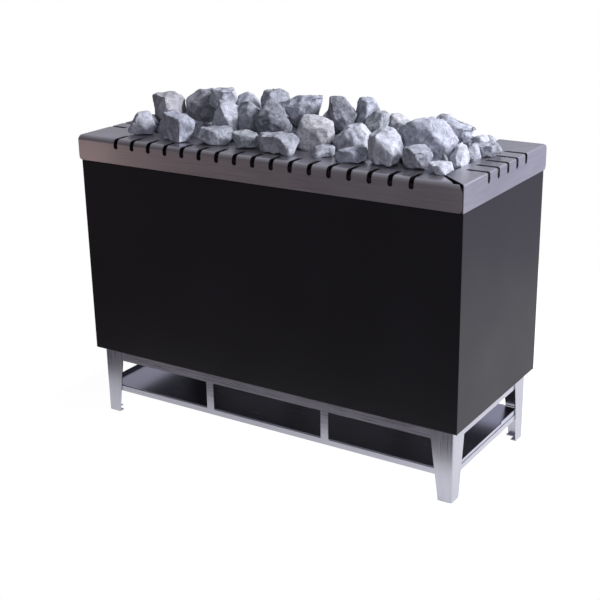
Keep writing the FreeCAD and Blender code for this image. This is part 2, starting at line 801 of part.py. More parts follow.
def leg(label, corner_x, corner_y, degrees):
    """An angle leg with its corner on its own origin and its flanges along -X and +Y."""
    body = new_body(label)
    bend = size("leg_bend")
    angle = [
        (0, 0, bend), (0, LEG_WIDE), (-STAND_GAUGE, LEG_WIDE),
        (-STAND_GAUGE, STAND_GAUGE, bend - STAND_GAUGE), (-LEG_WIDE, STAND_GAUGE),
        (-LEG_WIDE, 0),
    ]
    pad(body, "Angle", "XY_Plane", angle, STAND_TOP)
    taper_x = [(-LEG_NARROW, -PAST), (-LEG_NARROW, 0), (-LEG_WIDE, STAND_TOP),
               (-LEG_WIDE, STAND_TOP + PAST), (-LEG_WIDE - PAST, STAND_TOP + PAST),
               (-LEG_WIDE - PAST, -PAST)]
    pocket(body, "TaperAcross", "XZ_Plane", taper_x, STAND_GAUGE * 3)
    taper_y = [(-u, v) for u, v in taper_x]
    pocket(body, "TaperAlong", "YZ_Plane", taper_y, STAND_GAUGE * 3)
    depth = size("sole_depth")
    tab_across = rectangle((-LEG_NARROW, STAND_GAUGE * 0.5), (-STAND_GAUGE * 0.5, depth))
    tab_along = rectangle((-depth, STAND_GAUGE * 0.5), (-STAND_GAUGE * 0.5, LEG_NARROW))
    pad(body, "SoleAcross", "XY_Plane", tab_across, STAND_GAUGE)
    pad(body, "SoleAlong", "XY_Plane", tab_along, STAND_GAUGE)
    body.Placement = Placement(Vector(0, 0, 0), Rotation(Vector(0, 0, 1), degrees))
    bind(body, "Placement.Base.x", corner_x)
    bind(body, "Placement.Base.y", corner_y)
    return node(body, label)


def stand_sheet(label, degrees):
    """Upper rail, lower rail and two struts, cut from one sheet behind the leg flanges."""
    body = new_body(label)
    face = -(STAND_Y - STAND_GAUGE)
    edge = STAND_X - size("leg_bend")
    low, high = size("rail_lower"), STAND_TOP
    window_low, window_high = size("rail_lower_top"), size("rail_upper")
    half = size("strut_width") / 2
    corner = as_length(1.5)
    side = edge - LAP
    windows = []
    for left, right in ((-side, -size("strut_x") - half),
                        (-size("strut_x") + half, size("strut_x") - half),
                        (size("strut_x") + half, side)):
        windows.append(rectangle((left, window_low), (right, window_high), corner))
    pad(body, "Sheet", "XZ_Plane", rectangle((-edge, low), (edge, high)), STAND_GAUGE,
        offset=face, holes=windows)
    turn_round(body, degrees)
    return node(body, label)


leg("leg_front_right", STAND_X, -STAND_Y, 0)
leg("leg_back_right", STAND_X, STAND_Y, 90)
leg("leg_back_left", -STAND_X, STAND_Y, 180)
leg("leg_front_left", -STAND_X, -STAND_Y, 270)
stand_sheet("stand_sheet_front", 0)
stand_sheet("stand_sheet_back", 180)
for side, name in ((-1, "left"), (1, "right")):
    near, far = on_side(STAND_X - STAND_GAUGE * 2, STAND_X - STAND_GAUGE, side)
    reach = STAND_Y - STAND_GAUGE * 2
    wall(f"rail_upper_{name}", (near, -reach, size("rail_upper")), (far, reach, STAND_TOP))
    wall(f"rail_lower_{name}", (near, -reach, size("rail_lower")),
         (far, reach, size("rail_lower_top")))


def shelf(label, near, far, lip):
    """A plate across the lower rails with both ends turned up."""
    body = new_body(label)
    gauge = size("shelf_gauge")
    low = size("rail_lower_top")
    edge = STAND_X - STAND_GAUGE - 0.5
    bend = gauge * 1.5
    profile = [
        (-edge, low, bend), (edge, low, bend), (edge, low + gauge + lip),
        (edge - gauge, low + gauge + lip), (edge - gauge, low + gauge, gauge * 0.5),
        (-edge + gauge, low + gauge, gauge * 0.5), (-edge + gauge, low + gauge + lip),
        (-edge, low + gauge + lip),
    ]
    sketch = new_sketch(body, "Section", "XZ_Plane", near)
    outline(sketch, profile)
    plate = body.newObject("PartDesign::Pad", "Plate")
    plate.Profile = sketch
    plate.Reversed = True
    bind(plate, "Length", far - near)
    body.Tip = plate
    return node(body, label)


SHELF_Y = STAND_Y - STAND_GAUGE * 2
shelf("shelf_front", -SHELF_Y, size("shelf_split") - 0.5, size("shelf_lip"))
shelf("shelf_rear", size("shelf_split") + 0.5, SHELF_Y - 8, size("shelf_lip") + 4)


# ---------------------------------------------------------------------------------------------
# Stones: crushed rock, each one a convex solid of its own with a narrow gap to its neighbours
# ---------------------------------------------------------------------------------------------
STONE_GAP = 1.2  # between two stones
WALL_GAP = 1.5  # between a stone and a wall
NUDGE = 0.35  # no break runs closer than this to a corner that is already there
CHIPS = 12  # breaks on each stone
CHIP_DEPTH = (0.84, 1.06)  # where a break lies, as a share of the ellipsoid's reach
SQUARE_SHARE = 0.45  # share of the breaks that run nearly square to the stone
MOST_SPIN = 28  # degrees that a stone is turned about the upright
MOST_LEAN = 12  # degrees that a stone is tipped
REACH = 1.75  # stones further apart than this share of their sizes can't touch
LONGEST_REACH = 260  # distance between centres beyond which no two stones are compared

# Stones that lie on the front band of the rim: x, y, width, depth, height.
FRONT_ROW_LEFT = [(-385, -132, 60, 62, 56), (-279, -134, 124, 66, 64), (-165, -140, 98, 60, 38)]
FRONT_ROW_MIDDLE = [(-74, -140, 72, 56, 36), (17, -142, 114, 60, 41),
                    (132, -132, 52, 60, 22), (208, -142, 92, 58, 26)]
FRONT_ROW_RIGHT = [(287, -128, 78, 78, 80), (366, -136, 66, 60, 50), (434, -152, 66, 44, 22)]
# Stones that rise out of the opening: x, y, height of the top above the floor, width, depth, height.
SECOND_ROW_LEFT = [(-384, -22, 825, 82, 74, 84), (-312, 18, 832, 92, 84, 120),
                   (-180, -58, 825, 74, 70, 90), (-126, -40, 830, 66, 62, 100),
                   (-48, -62, 834, 86, 74, 100)]
SECOND_ROW_RIGHT = [(74, -70, 822, 84, 74, 104), (181, -72, 804, 102, 74, 90),
                    (358, -62, 836, 126, 84, 112), (434, -62, 786, 38, 52, 66),
                    (434, 2, 776, 36, 50, 60)]
THIRD_ROW = [(-196, 52, 830, 66, 60, 90), (138, 58, 842, 58, 62, 100), (176, 34, 818, 56, 58, 90),
             (208, 70, 812, 62, 58, 90), (262, 20, 800, 70, 64, 90), (310, 84, 812, 54, 46, 90),
             (-256, 84, 806, 64, 52, 86), (-60, 86, 800, 70, 50, 80), (60, 88, 806, 64, 48, 80),
             (418, 82, 776, 44, 50, 60), (-424, 60, 772, 48, 60, 60), (-372, 82, 780, 60, 50, 66)]
# Stones that lie on the back band or a side band of the rim: x, y, width, depth, height.
BACK_ROW = [(-352, 150, 70, 60, 32), (-262, 156, 74, 58, 38), (-176, 150, 62, 60, 42),
            (-92, 154, 72, 56, 34), (-4, 150, 74, 62, 40), (84, 156, 66, 54, 36),
            (166, 150, 70, 60, 42), (250, 154, 64, 58, 34), (330, 150, 60, 54, 30),
            (399, 160, 42, 44, 16), (456, 40, 54, 44, 28)]
# Loose stones on the very top, each lifted off by hand.
CROWN = [(-236, 0, 845, 84, 72, 54), (-108, 38, 848, 80, 66, 62), (-8, 10, 844, 100, 80, 74),
         (92, 10, 853, 82, 76, 88), (384, 22, 814, 76, 66, 56)]


class Stone:
    """One rock: an ellipsoid's place and size, later cut down to flat broken faces."""

    def __init__(self, centre, width, depth, height, rank, seed):
        self.centre = Vector(*centre)
        self.half = (width / 2, depth / 2, height / 2)
        self.rank = rank
        self.random = random.Random(seed)
        self.spin = self.random.uniform(-MOST_SPIN, MOST_SPIN)
        self.lean = self.random.uniform(-MOST_LEAN, MOST_LEAN)
        self.limits = []

    def axes(self):
        turn = Rotation(Vector(0, 0, 1), self.spin)
        turn = turn.multiply(Rotation(Vector(0, 1, 0), self.lean))
        return [turn.multVec(Vector(*axis)) for axis in ((1, 0, 0), (0, 1, 0), (0, 0, 1))]

    def support(self, direction):
        """How far the ellipsoid reaches from its centre in a direction."""
        return math.sqrt(sum((h * direction.dot(a)) ** 2 for h, a in zip(self.half, self.axes())))

    def keep_below(self, normal, distance):
        """Keeps the stone on the near side of the plane normal . p = distance."""
        self.limits.append((Vector(*normal), distance))


def clip(faces, normal, distance):
    """Cuts a convex solid's faces, given as loops of points, by a plane."""
    corners = [point for face in faces for point in face]
    while any(abs(normal.dot(point) - distance) < NUDGE for point in corners):
        distance -= NUDGE
    kept, section = [], []
    for face in faces:
        loop = []
        for here, there in zip(face, face[1:] + face[:1]):
            a, b = normal.dot(here) - distance, normal.dot(there) - distance
            if a < 0:
                loop.append(here)
            if a * b < 0:
                crossing = here + (there - here) * (a / (a - b))
                loop.append(crossing)
                section.append(crossing)
        if len(loop) > 2:
            kept.append(loop)
    if not section:
        return kept
    middle = Vector(0, 0, 0)
    for point in section:
        middle += point * (1 / len(section))
    side = (section[0] - middle).normalize()
    other = normal.cross(side)
    section.sort(key=lambda p: math.atan2((p - middle).dot(other), (p - middle).dot(side)))
    loop = []
    for point in section:
        if not loop or (point - loop[-1]).Length > 1e-4:
            loop.append(point)
    if (loop[0] - loop[-1]).Length <= 1e-4:
        loop.pop()
    kept.append(loop)
    return kept


def rough_faces(stone):
    """A tilted box with its corners and edges broken off, then cut back to its limits."""
    axes = stone.axes()

    def corner(signs):
        point = stone.centre
        for sign, half, axis in zip(signs, stone.half, axes):
            point = point + axis * (sign * half)
        return point

    loops = []
    for fixed in range(3):
        first, second = [axis for axis in range(3) if axis != fixed]
        for sign in (-1, 1):
            loop = []
            for a, b in ((-1, -1), (1, -1), (1, 1), (-1, 1)):
                signs = [0, 0, 0]
                signs[fixed], signs[first], signs[second] = sign, a, b
                loop.append(corner(signs))
            loops.append(loop)
    pick = stone.random
    for _ in range(CHIPS):
        raw = Vector(pick.choice((-1, 1)) * pick.uniform(0.35, 1),
                     pick.choice((-1, 1)) * pick.uniform(0.35, 1),
                     pick.choice((-1, 1)) * pick.uniform(0.2, 1))
        if pick.random() < SQUARE_SHARE:
            flattened = [pick.randrange(3) == 1 for _ in range(3)]
            raw = Vector(*[value * 0.15 if flat else value
                           for flat, value in zip(flattened, raw)])
        normal = (axes[0] * raw.x + axes[1] * raw.y + axes[2] * raw.z).normalize()
        distance = normal.dot(stone.centre) + stone.support(normal) * pick.uniform(*CHIP_DEPTH)
        loops = clip(loops, normal, distance)
    for normal, distance in stone.limits:
        if max(normal.dot(point) for loop in loops for point in loop) > distance:
            loops = clip(loops, normal, distance)
    return loops


def solid_of(faces):
    """A solid whose neighbouring faces share their edges."""
    points, edges, shells = [], {}, []

    def index_of(point):
        for i, known in enumerate(points):
            if (known - point).Length < 1e-3:
                return i
        points.append(point)
        return len(points) - 1

    for face in faces:
        ring = []
        for point in face:
            index = index_of(point)
            if index not in ring:
                ring.append(index)
        if len(ring) < 3:
            continue
        sides = []
        for a, b in zip(ring, ring[1:] + ring[:1]):
            key = (min(a, b), max(a, b))
            if key not in edges:
                edges[key] = Part.LineSegment(points[key[0]], points[key[1]]).toShape()
            sides.append(edges[key])
        shells.append(Part.Face(Part.Wire(sides)))
    shape = Part.Solid(Part.Shell(shells))
    if shape.Volume < 0:
        shape.reverse()
    return shape


def part_company(one, two):
    """Puts one plane between two stones that may touch, so that neither enters the other."""
    apart = two.centre - one.centre
    distance = apart.Length
    normal = apart * (1 / distance)
    if one.rank == CROWN_RANK or two.rank == CROWN_RANK:
        upper, lower = (one, two) if one.rank >= two.rank else (two, one)
        rising = (upper.centre - lower.centre).z > 0
        if upper.rank == lower.rank or not rising:
            normal = Vector(apart.x, apart.y, 0).normalize()
            distance = normal.dot(apart)
    reach_one, reach_two = one.support(normal), two.support(normal)
    if distance > REACH * (reach_one + reach_two):
        return
    if one.rank > two.rank:
        place = min(reach_one * 1.04, distance * 0.86)
    elif one.rank < two.rank:
        place = distance - min(reach_two * 1.04, distance * 0.86)
    else:
        place = distance * reach_one / (reach_one + reach_two)
    level = normal.dot(one.centre) + place
    one.keep_below(normal, level - STONE_GAP / 2)
    two.keep_below(normal * -1, -level - STONE_GAP / 2)


CORE_RANK, FILL_RANK, ROW_RANK, CROWN_RANK = range(4)
RIM_TOP_MM = millimetres("rim_top")
OPEN_X_MM = OPENING_X.value - WALL_GAP
OPEN_Y_MM = OPENING_Y.value - WALL_GAP
CHAMBER_X_MM = millimetres("liner_x") - WALL_GAP
CHAMBER_Y_MM = millimetres("liner_y") - WALL_GAP
UNDER_RIM_MM = RIM_TOP_MM - millimetres("rim_gauge") - WALL_GAP
ELEMENT_CROWN_MM = millimetres("element_top") + millimetres("element_step") / 2 + 5
piles = {}


def pile(label, stones):
    piles[label] = stones


def on_band(rows, seed):
    """Stones that stand on the rim's top face."""
    stones = []
    for i, (x, y, width, depth, height) in enumerate(rows):
        seat = RIM_TOP_MM + 0.6
        stone = Stone((x, y, seat + height * 0.45), width, depth, height, ROW_RANK, seed + i)
        stone.keep_below((0, 0, -1), -seat)
        stones.append(stone)
    return stones


def inside_opening(stone):
    for axis, limit in (((1, 0, 0), OPEN_X_MM), ((0, 1, 0), OPEN_Y_MM)):
        stone.keep_below(axis, limit)
        stone.keep_below([-value for value in axis], limit)


def in_opening(rows, seed, rank):
    """Stones that rise through the rim's opening."""
    stones = []
    for i, (x, y, top, width, depth, height) in enumerate(rows):
        stone = Stone((x, y, top - height / 2), width, depth, height, rank, seed + i)
        if rank != CROWN_RANK:
            inside_opening(stone)
        stones.append(stone)
    return stones


def inside_chamber(stone, low, high):
    for axis, limit in (((1, 0, 0), CHAMBER_X_MM), ((0, 1, 0), CHAMBER_Y_MM)):
        stone.keep_below(axis, limit)
        stone.keep_below([-value for value in axis], limit)
    stone.keep_below((0, 0, 1), high)
    stone.keep_below((0, 0, -1), -low)


def grid(columns, rows, levels, seed, extent, rank):
    """Rough stones packed in a regular, slightly shaken order within an extent."""
    (x_low, x_high), (y_low, y_high), (z_low, z_high) = extent
    shake = random.Random(seed)
    steps = ((x_high - x_low) / columns, (y_high - y_low) / rows, (z_high - z_low) / levels)
    stones = []
    for i in range(columns):
        for j in range(rows):
            for k in range(levels):
                centre = [low + step * (count + 0.5) + shake.uniform(-0.06, 0.06) * step
                          for low, step, count in zip((x_low, y_low, z_low), steps, (i, j, k))]
                stretch = [step * shake.uniform(0.98, 1.12) for step in steps]
                stones.append(Stone(centre, *stretch, rank, seed + len(stones)))
    return stones


def core_stones():
    """Stones between the heating elements, one stack in each lane."""
    half_tube = millimetres("element_tube") / 2 + WALL_GAP
    pitch = millimetres("element_pitch")
    lanes = [pitch * (i - (ELEMENTS - 1) / 2) for i in range(ELEMENTS)]
    walls = [-CHAMBER_X_MM - half_tube, *lanes, CHAMBER_X_MM + half_tube]
    stones = []
    floor = millimetres("grate_top") + WALL_GAP
    for index, (left, right) in enumerate(zip(walls, walls[1:])):
        low, high = left + half_tube, right - half_tube
        extent = ((low, high), (-CHAMBER_Y_MM, CHAMBER_Y_MM), (floor, ELEMENT_CROWN_MM))
        lane = grid(1, 3, 4, 700 + 40 * index, extent, CORE_RANK)
        for stone in lane:
            inside_chamber(stone, floor, ELEMENT_CROWN_MM)
            stone.keep_below((1, 0, 0), high)
            stone.keep_below((-1, 0, 0), -low)
        stones += lane
    return stones


def shoulder_stones():
    """The layer between the tops of the elements and the rim."""
    extent = ((-CHAMBER_X_MM, CHAMBER_X_MM), (-CHAMBER_Y_MM, CHAMBER_Y_MM),
              (ELEMENT_CROWN_MM + 2, UNDER_RIM_MM - 8))
    stones = grid(11, 3, 1, 5000, extent, FILL_RANK)
    for stone in stones:
        inside_chamber(stone, ELEMENT_CROWN_MM + 2, UNDER_RIM_MM)
    return stones


def filling_stones():
    """Stones in the opening that carry the visible ones."""
    extent = ((-OPEN_X_MM, OPEN_X_MM), (-OPEN_Y_MM, OPEN_Y_MM), (UNDER_RIM_MM - 34, RIM_TOP_MM + 30))
    stones = grid(12, 3, 1, 6000, extent, FILL_RANK)
    for stone in stones:
        inside_opening(stone)
    return stones


pile("stones_front_left", on_band(FRONT_ROW_LEFT, 101))
pile("stones_front_middle", on_band(FRONT_ROW_MIDDLE, 131))
pile("stones_front_right", on_band(FRONT_ROW_RIGHT, 161))
pile("stones_second_left", in_opening(SECOND_ROW_LEFT, 201, ROW_RANK))
pile("stones_second_right", in_opening(SECOND_ROW_RIGHT, 231, ROW_RANK))
pile("stones_third", in_opening(THIRD_ROW, 261, ROW_RANK))
pile("stones_back", on_band(BACK_ROW, 301))
for number, stone in enumerate(in_opening(CROWN, 401, CROWN_RANK), start=1):
    pile(f"crown_stone_{number}", [stone])
pile("stones_filling", filling_stones())
pile("stones_shoulder", shoulder_stones())
pile("stones_core", core_stones())

every_stone = [stone for stones in piles.values() for stone in stones]
for place, stone in enumerate(every_stone):
    for other in every_stone[place + 1:]:
        if (stone.centre - other.centre).Length < LONGEST_REACH:
            part_company(stone, other)

for label, stones in piles.items():
    heap = doc.addObject("Part::Feature", label)
    solids = [solid_of(rough_faces(stone)) for stone in stones]
    heap.Shape = solids[0] if len(solids) == 1 else Part.makeCompound(solids)
    heap.Placement = Placement()
    node(heap, label)

doc.recompute()

# ---------------------------------------------------------------------------------------------
# Checks and export
# ---------------------------------------------------------------------------------------------
for thing in doc.Objects:
    if "Invalid" in thing.State or "Error" in thing.State:
        raise RuntimeError(f"{thing.Name} did not recompute: {thing.State}")
for thing in nodes:
    if thing.Shape.isNull() or not thing.Shape.isValid():
        raise RuntimeError(f"{thing.Label} has no valid shape")
    thing.Shape.exportStep(f"parts/{thing.Label}.step")
print(f"{len(nodes)} sub-parts exported")
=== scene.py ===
# %% [markdown]
# # A stone heater for a sauna
#
# The heater is a painted sheet-metal case on a low steel stand, with a slotted steel rim
# round an open top, and a heap of crushed stones in it. The CAD model already holds every
# sheet, screw and stone at its true place and size. This lesson starts from that model, keeps
# it as a fixed frame, and adds what CAD can't show: rock that looks broken, steel that looks
# brushed, and paint that looks sprayed.

# %% Load the frame
import math

import bpy
from mathutils import Matrix, Vector


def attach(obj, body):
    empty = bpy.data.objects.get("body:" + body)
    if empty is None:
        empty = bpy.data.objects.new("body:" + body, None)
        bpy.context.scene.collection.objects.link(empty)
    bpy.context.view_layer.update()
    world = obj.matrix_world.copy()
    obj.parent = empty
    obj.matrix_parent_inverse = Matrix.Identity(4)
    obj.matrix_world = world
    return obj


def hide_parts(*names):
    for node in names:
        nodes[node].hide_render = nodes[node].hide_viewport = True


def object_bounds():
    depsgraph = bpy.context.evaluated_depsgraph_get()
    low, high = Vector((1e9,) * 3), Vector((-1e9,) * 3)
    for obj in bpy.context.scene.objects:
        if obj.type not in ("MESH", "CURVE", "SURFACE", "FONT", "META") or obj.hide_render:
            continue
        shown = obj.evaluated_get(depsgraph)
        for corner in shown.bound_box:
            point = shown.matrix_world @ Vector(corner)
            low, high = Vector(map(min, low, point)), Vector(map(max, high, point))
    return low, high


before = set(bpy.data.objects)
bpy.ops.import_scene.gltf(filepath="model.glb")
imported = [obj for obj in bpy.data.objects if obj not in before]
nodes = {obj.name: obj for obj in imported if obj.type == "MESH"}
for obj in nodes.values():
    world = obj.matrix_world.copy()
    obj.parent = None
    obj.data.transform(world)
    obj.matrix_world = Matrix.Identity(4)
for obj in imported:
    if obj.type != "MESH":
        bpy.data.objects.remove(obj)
cad_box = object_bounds()

# %% [markdown]
# ## Small tools
#
# A colour is easier to choose as an sRGB hex value, as on a paint chart, but Blender's shaders
# reckon in linear light, so one function turns one into the other. Another adds a shader node
# together with its settings and its links, which keeps each material a short recipe. Patterns
# are sized in real millimetres: a noise texture on Object coordinates repeats about once per
# 1 / scale metres.

# %% Colour and scale
MM = 0.001


def linear(hex_value):
    """An sRGB hex colour as linear red, green, blue and alpha."""
    channels = [int(hex_value[i:i + 2], 16) / 255 for i in (1, 3, 5)]
    return (*[c / 12.92 if c <= 0.04045 else ((c + 0.055) / 1.055) ** 2.4 for c in channels], 1)


def grey(value):
    """A neutral colour of this linear brightness."""
    return (value, value, value, 1)


def per_metre(size_mm):
    """The texture scale whose features are about this many millimetres wide."""
    return 1 / (size_mm * MM)


print("a 5 mm pattern has a scale of", per_metre(5))

# %% Nodes
def add(tree, kind, settings=None, **inputs):
    """Adds a node. Inputs are values, or sockets of other nodes to link from."""
    node = tree.nodes.new(kind)
    for name, value in (settings or {}).items():
        setattr(node, name, value)
    for name, value in inputs.items():
        socket = node.inputs[int(name[1:]) if name[0] == "_" else name.replace("_", " ")]
        if isinstance(value, bpy.types.NodeSocket):
            tree.links.new(value, socket)
        else:
            socket.default_value = value
    return node


def object_place(tree, stretch=(1, 1, 1)):
    """Object coordinates, squeezed or stretched along each axis."""
    place = add(tree, "ShaderNodeTexCoord").outputs["Object"]
    return add(tree, "ShaderNodeMapping", Vector=place, Scale=stretch).outputs[0]


def ramp(tree, factor, stops):
    """A colour ramp through (position, colour) stops."""
    node = add(tree, "ShaderNodeValToRGB", Fac=factor)
    elements = node.color_ramp.elements
    while len(elements) < len(stops):
        elements.new(0.5)
    for element, (position, colour) in zip(elements, stops):
        element.position = position
        element.color = colour
    return node.outputs["Color"]


print("node tools:", add.__name__, object_place.__name__, ramp.__name__)

# %% Materials
def new_material(name):
    """An empty material, and its node tree."""
    material = bpy.data.materials.new(name)
    material.use_nodes = True
    material.node_tree.nodes.clear()
    return material, material.node_tree


def finish_material(material, shader):
    """Links the shader to the material's output."""
    add(material.node_tree, "ShaderNodeOutputMaterial", Surface=shader.outputs[0])
    return material


print("material tools:", new_material.__name__, finish_material.__name__)

# %% [markdown]
# ## Brushed stainless steel
#
# The rim and the stand are stainless sheet, brushed in one direction with a belt. The brushing
# leaves long fine scratches, so the sheen is drawn out across them and the surface shows faint
# streaks along the belt's path. Real scratches are about 0.1 mm wide, too fine to show at this
# size, so the streaks are drawn about 1.2 mm wide and 90 mm long. They change the roughness
# and the colour a little, and a slight bump follows them.

# %% Brushed steel
STREAK_WIDE_MM = 1.2
STREAK_LONG_MM = 90


def brushed_steel(name, along, colour, shade, roughness):
    """Stainless sheet brushed along an axis: 0 for X, 1 for Y, 2 for Z."""
    material, tree = new_material(name)
    stretch = [per_metre(STREAK_WIDE_MM)] * 3
    stretch[along] = per_metre(STREAK_LONG_MM)
    streaks = add(tree, "ShaderNodeTexNoise", Vector=object_place(tree, stretch), Scale=1.0,
                  Detail=4.0, Roughness=0.6).outputs["Fac"]
    clouds = add(tree, "ShaderNodeTexNoise", Vector=object_place(tree), Scale=per_metre(160),
                 Detail=2.0).outputs["Fac"]
    both = add(tree, "ShaderNodeMath", {"operation": "MULTIPLY_ADD"}, _0=clouds, _1=0.5,
               _2=streaks).outputs[0]
    tint = ramp(tree, both, [(0.45, linear(shade)), (1.05, linear(colour))])
    rough = add(tree, "ShaderNodeMapRange", Value=streaks, From_Min=0.3, From_Max=0.7,
                To_Min=roughness - 0.06, To_Max=roughness + 0.06).outputs[0]
    bump = add(tree, "ShaderNodeBump", Strength=0.12, Distance=0.1 * MM, Height=streaks)
    shader = add(tree, "ShaderNodeBsdfPrincipled", Base_Color=tint, Metallic=1.0,
                 Roughness=rough, Normal=bump.outputs[0])
    return finish_material(material, shader)


rim_along_x = brushed_steel("brushed_stainless_rim_x", 0, "#C4C2C6", "#A3A1A6", 0.34)
rim_along_y = brushed_steel("brushed_stainless_rim_y", 1, "#C4C2C6", "#A3A1A6", 0.34)
stand_along_x = brushed_steel("brushed_stainless_stand_x", 0, "#B8B8C2", "#9E9EA8", 0.3)
stand_along_y = brushed_steel("brushed_stainless_stand_y", 1, "#B8B8C2", "#9E9EA8", 0.3)
stand_along_z = brushed_steel("brushed_stainless_leg", 2, "#B8B8C2", "#9E9EA8", 0.3)
print("brushed steel along X, Y and Z, streaks", STREAK_WIDE_MM, "mm wide")

# %% [markdown]
# ## Black powder coat
#
# The case is steel sheet with a satin black powder coat. Powder is sprayed on dry and melts into
# a skin with a very fine orange-peel texture, which softens every reflection without making it
# matt. The peel is about 1 mm across. The base colour is nearly black and slightly violet.

# %% Powder coat
PEEL_MM = 1.1


def powder_coat(name, colour, patch):
    """A satin coat between two colours, with orange peel in its bump."""
    material, tree = new_material(name)
    place = object_place(tree)
    peel = add(tree, "ShaderNodeTexNoise", Vector=place, Scale=per_metre(PEEL_MM),
               Detail=3.0).outputs["Fac"]
    drift = add(tree, "ShaderNodeTexNoise", Vector=place, Scale=per_metre(220),
                Detail=3.0).outputs["Fac"]
    tint = ramp(tree, drift, [(0.35, linear(colour)), (0.65, linear(patch))])
    rough = add(tree, "ShaderNodeMapRange", Value=drift, From_Min=0.3, From_Max=0.7,
                To_Min=0.46, To_Max=0.54).outputs[0]
    bump = add(tree, "ShaderNodeBump", Strength=0.25, Distance=0.08 * MM, Height=peel)
    shader = add(tree, "ShaderNodeBsdfPrincipled", Base_Color=tint, Roughness=rough,
                 Specular_IOR_Level=0.25, Normal=bump.outputs[0])
    return finish_material(material, shader)


casing_paint = powder_coat("satin_black_powder_coat", "#1D1B1F", "#201E23")
print("powder coat, peel", PEEL_MM, "mm")

# %% [markdown]
# ## Plain sheet, heated steel, zinc, ceramic and nylon
#
# What lies inside the case is plainer. The chamber walls are mill-finish stainless, dulled by
# heat. The elements' tubes are darkened to brown and blue by their own heat. Screws and nuts
# are zinc plated, the terminal block is glazed steatite and the gland is moulded nylon. They
# share one recipe: two colours mixed by a soft noise, with a roughness that varies with it. The
# shelf in the stand is brushed sheet again, of a brighter grade.

# %% Inner materials
def mottled(name, colour, other, size_mm, metallic, roughness):
    """A surface whose colour and gloss drift between two states in patches of this size."""
    material, tree = new_material(name)
    patches = add(tree, "ShaderNodeTexNoise", Vector=object_place(tree), Scale=per_metre(size_mm),
                  Detail=5.0, Roughness=0.6).outputs["Fac"]
    tint = ramp(tree, patches, [(0.35, linear(colour)), (0.65, linear(other))])
    rough = add(tree, "ShaderNodeMapRange", Value=patches, From_Min=0.3, From_Max=0.7,
                To_Min=roughness - 0.08, To_Max=roughness + 0.08).outputs[0]
    bump = add(tree, "ShaderNodeBump", Strength=0.2, Distance=0.2 * MM, Height=patches)
    shader = add(tree, "ShaderNodeBsdfPrincipled", Base_Color=tint, Metallic=metallic,
                 Roughness=rough, Normal=bump.outputs[0])
    return finish_material(material, shader)


inner_steel = mottled("mill_finish_stainless", "#8D8B88", "#A5A3A0", 30, 1.0, 0.42)
element_steel = mottled("heat_tinted_stainless", "#4A4240", "#4D5468", 18, 1.0, 0.45)
zinc_plate = mottled("zinc_plated_steel", "#9A9C9E", "#B4B4AE", 4, 1.0, 0.38)
steatite = mottled("glazed_steatite", "#D8D0BE", "#E2DCCC", 9, 0.0, 0.35)
nylon = mottled("moulded_nylon", "#17171A", "#1E1E21", 6, 0.0, 0.55)
shelf_steel = brushed_steel("bright_sheet_stainless", 0, "#B4B4C4", "#9A9AAA", 0.22)
print("inner materials:", inner_steel.name, element_steel.name, zinc_plate.name, steatite.name,
      nylon.name, shelf_steel.name)

# %% [markdown]
# ## Crushed rock
#
# The stones are igneous rock, crushed, so each one is bounded by fresh broken faces. The rock
# is fine grained: bluish grey, clouded with paler and darker patches, and with small pits that
# the bump sinks and that are darkened with painted shade.
# The load is mixed, so a single recipe takes a pale and a dark colour, and each kind of stone
# is one call. The pits are drawn about 5 mm apart, coarser than real ones, so that they show.

# %% Rock
def crushed_rock(name, pale, dark):
    """Rough rock between two colours, speckled, with painted shade in its pits."""
    material, tree = new_material(name)
    place = object_place(tree)
    patches = add(tree, "ShaderNodeTexNoise", Vector=place, Scale=per_metre(24), Detail=7.0,
                  Roughness=0.66, Distortion=1.6).outputs["Fac"]
    grain = add(tree, "ShaderNodeTexNoise", Vector=place, Scale=per_metre(3.2), Detail=5.0,
                Roughness=0.75).outputs["Fac"]
    pits = add(tree, "ShaderNodeTexVoronoi", Vector=place, Scale=per_metre(5.5),
               Randomness=1.0).outputs["Distance"]
    tint = ramp(tree, patches, [(0.34, linear(dark)), (0.6, linear(pale))])
    speckle = ramp(tree, grain, [(0.32, grey(0.55)), (0.5, grey(0.95)), (0.72, grey(1.12))])
    speckled = add(tree, "ShaderNodeMix", {"data_type": "RGBA", "blend_type": "MULTIPLY"},
                   _0=0.75, _6=tint, _7=speckle).outputs[2]
    # painted shade: the colour is darkened in each pit, where the bump sinks the surface
    pit_shade = ramp(tree, pits, [(0.05, grey(0.45)), (0.2, grey(1.0))])
    pitted = add(tree, "ShaderNodeMix", {"data_type": "RGBA", "blend_type": "MULTIPLY"},
                 _0=0.55, _6=speckled, _7=pit_shade).outputs[2]
    height = add(tree, "ShaderNodeMath", {"operation": "MULTIPLY_ADD"}, _0=pits, _1=0.5,
                 _2=grain).outputs[0]
    bump = add(tree, "ShaderNodeBump", Strength=0.55, Distance=1.2 * MM, Height=height)
    rough = add(tree, "ShaderNodeMapRange", Value=grain, To_Min=0.78, To_Max=0.95).outputs[0]
    shader = add(tree, "ShaderNodeBsdfPrincipled", Base_Color=pitted, Roughness=rough,
                 Normal=bump.outputs[0])
    return finish_material(material, shader)


rocks = {
    "pale": crushed_rock("crushed_rock_pale", "#CFD1DA", "#9A9DA8"),
    "blue": crushed_rock("crushed_rock_blue_grey", "#BEC2CE", "#80848F"),
    "grey": crushed_rock("crushed_rock_grey", "#B4B7C0", "#73767F"),
    "green": crushed_rock("crushed_rock_green_grey", "#AFB4BA", "#73787F"),
    "dark": crushed_rock("crushed_rock_dark", "#9A9CA6", "#52545C"),
    "beige": crushed_rock("crushed_rock_beige_grey", "#C8C8CC", "#919299"),
    "brown": crushed_rock("crushed_rock_brown_grey", "#9FA0A8", "#65676F"),
}
print(len(rocks), "kinds of rock")

# %% [markdown]
# ## Camera
#
# The camera stands to the front right of the heater, a little above it, and is tilted by about
# a degree. It is placed by its direction, its distance and a small sideways and upward shift of
# the point that it looks at.

